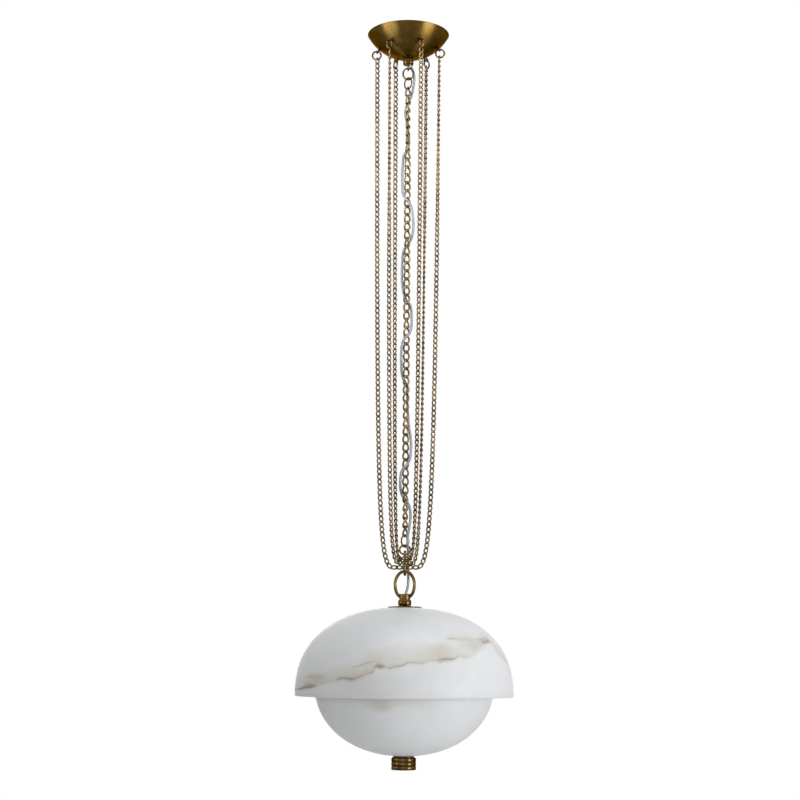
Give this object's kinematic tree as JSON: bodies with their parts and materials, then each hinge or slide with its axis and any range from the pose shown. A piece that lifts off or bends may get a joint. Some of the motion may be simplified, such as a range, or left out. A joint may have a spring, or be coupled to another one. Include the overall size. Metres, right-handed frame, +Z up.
{
  "type": "alabaster bowl pendant",
  "caption": "Ceiling pendant: a stone dome over a nested stone bowl, hung on a curb chain with looped side chains from a domed brass canopy, with a woven cord and a beaded finial.",
  "frame": {"origin": "on the ceiling plane, on the lamp's vertical axis", "axes": "+Z up, out of the object into the ceiling; -Y towards the viewer of the picture; +X to their right"},
  "size_m": [0.4, 0.4, 1.3992],
  "materials": {
    "alabaster": "honed natural alabaster, milky white with faint warm veins",
    "brass": "antique brass, soft sheen",
    "dark_brass": "dark antique brass, brushed",
    "steel": "zinc plated",
    "clear_cord": "translucent grey PVC",
    "felt": "dark felt",
    "porcelain": "glazed white porcelain",
    "opal_glass": "opal lamp glass, unlit"
  },
  "bodies": {
    "canopy": {"ceiling_bracket": "steel", "bracket_screw_left": "steel", "bracket_screw_right": "steel", "bracket_nut": "steel", "canopy_nipple": "steel", "canopy_shell": "dark_brass", "canopy_collar": "dark_brass", "canopy_loop": "dark_brass", "hook_eye_1": "dark_brass", "hook_eye_2": "dark_brass", "hook_eye_3": "dark_brass", "hook_eye_4": "dark_brass", "hook_eye_5": "dark_brass", "hook_eye_6": "dark_brass", "hook_nut_1": "steel", "hook_nut_2": "steel", "hook_nut_3": "steel", "hook_nut_4": "steel", "hook_nut_5": "steel", "hook_nut_6": "steel", "jump_ring_1": "dark_brass", "jump_ring_2": "dark_brass", "jump_ring_3": "dark_brass", "jump_ring_4": "dark_brass", "jump_ring_5": "dark_brass", "jump_ring_6": "dark_brass"},
    "hanger_ring": {"hanger_ring": "brass"},
    "chain": {"chain_top_ring": "brass", "main_chain_upper": "brass", "main_chain_middle": "brass", "main_chain_lower": "brass", "chain_end_ring": "brass", "collector_ring": "brass"},
    "carrier": {"carrier_link": "brass", "swag_chain_a": "brass", "swag_chain_b": "brass", "swag_chain_c": "brass", "supply_cord": "clear_cord"},
    "shade": {"top_loop": "brass", "neck_coupling": "dark_brass", "top_cap": "brass", "cap_gasket": "felt", "dome_shade": "alabaster", "dome_plate": "steel", "dome_nut": "steel", "stem_tube": "steel", "lamp_hub": "steel", "lamp_holder_1": "porcelain", "lamp_holder_2": "porcelain", "lamp_holder_3": "porcelain", "bowl_rod": "steel"},
    "bulb_1": {"bulb_1": "opal_glass"},
    "bulb_2": {"bulb_2": "opal_glass"},
    "bulb_3": {"bulb_3": "opal_glass"},
    "bowl": {"bowl_shade": "alabaster", "bowl_felt": "felt"},
    "finial_washer": {"finial_washer": "brass"},
    "finial": {"finial": "brass"}
  },
  "joints": [
    {"name": "hanger_swing", "type": "hinge", "parent": "canopy", "child": "hanger_ring", "pos_m": [0, 0, -0.0712], "axis": [0, 1, 0], "range_deg": [-20, 20], "deforming": ["swag_chain_a", "swag_chain_b", "swag_chain_c", "supply_cord"]},
    {"name": "chain_swing", "type": "hinge", "parent": "hanger_ring", "child": "chain", "pos_m": [0, 0, -0.09045], "axis": [1, 0, 0], "range_deg": [-18, 18]},
    {"name": "carrier_swing", "type": "hinge", "parent": "chain", "child": "carrier", "pos_m": [0, 0, -1.00935], "axis": [1, 0, 0], "range_deg": [-25, 25]},
    {"name": "shade_swing", "type": "hinge", "parent": "carrier", "child": "shade", "pos_m": [0, 0, -1.04625], "axis": [0, 1, 0], "range_deg": [-25, 25]},
    {"name": "bulb_1_turn", "type": "hinge", "parent": "shade", "child": "bulb_1", "pos_m": [0, 0.05, -1.2055], "axis": [0, 1, 0], "range_deg": [0, 1440]},
    {"name": "bulb_2_turn", "type": "hinge", "parent": "shade", "child": "bulb_2", "pos_m": [-0.0433, -0.025, -1.2055], "axis": [-0.866, -0.5, 0], "range_deg": [0, 1440]},
    {"name": "bulb_3_turn", "type": "hinge", "parent": "shade", "child": "bulb_3", "pos_m": [0.0433, -0.025, -1.2055], "axis": [0.866, -0.5, 0], "range_deg": [0, 1440]},
    {"name": "bowl_lower", "type": "slide", "parent": "shade", "child": "bowl", "axis": [0, 0, -1], "range_m": [0, 0.12]},
    {"name": "finial_drop", "type": "slide", "parent": "bowl", "child": "finial_washer", "axis": [0, 0, -1], "range_m": [0, 0.008]},
    {"name": "finial_turn", "type": "hinge", "parent": "finial_washer", "child": "finial", "pos_m": [0, 0, -1.388], "axis": [0, 0, -1], "range_deg": [0, 2880]}
  ],
  "couplings": [
    {"joint": "finial_drop", "follows": "finial_turn", "m_per_rad": 0.00015915}
  ]
}
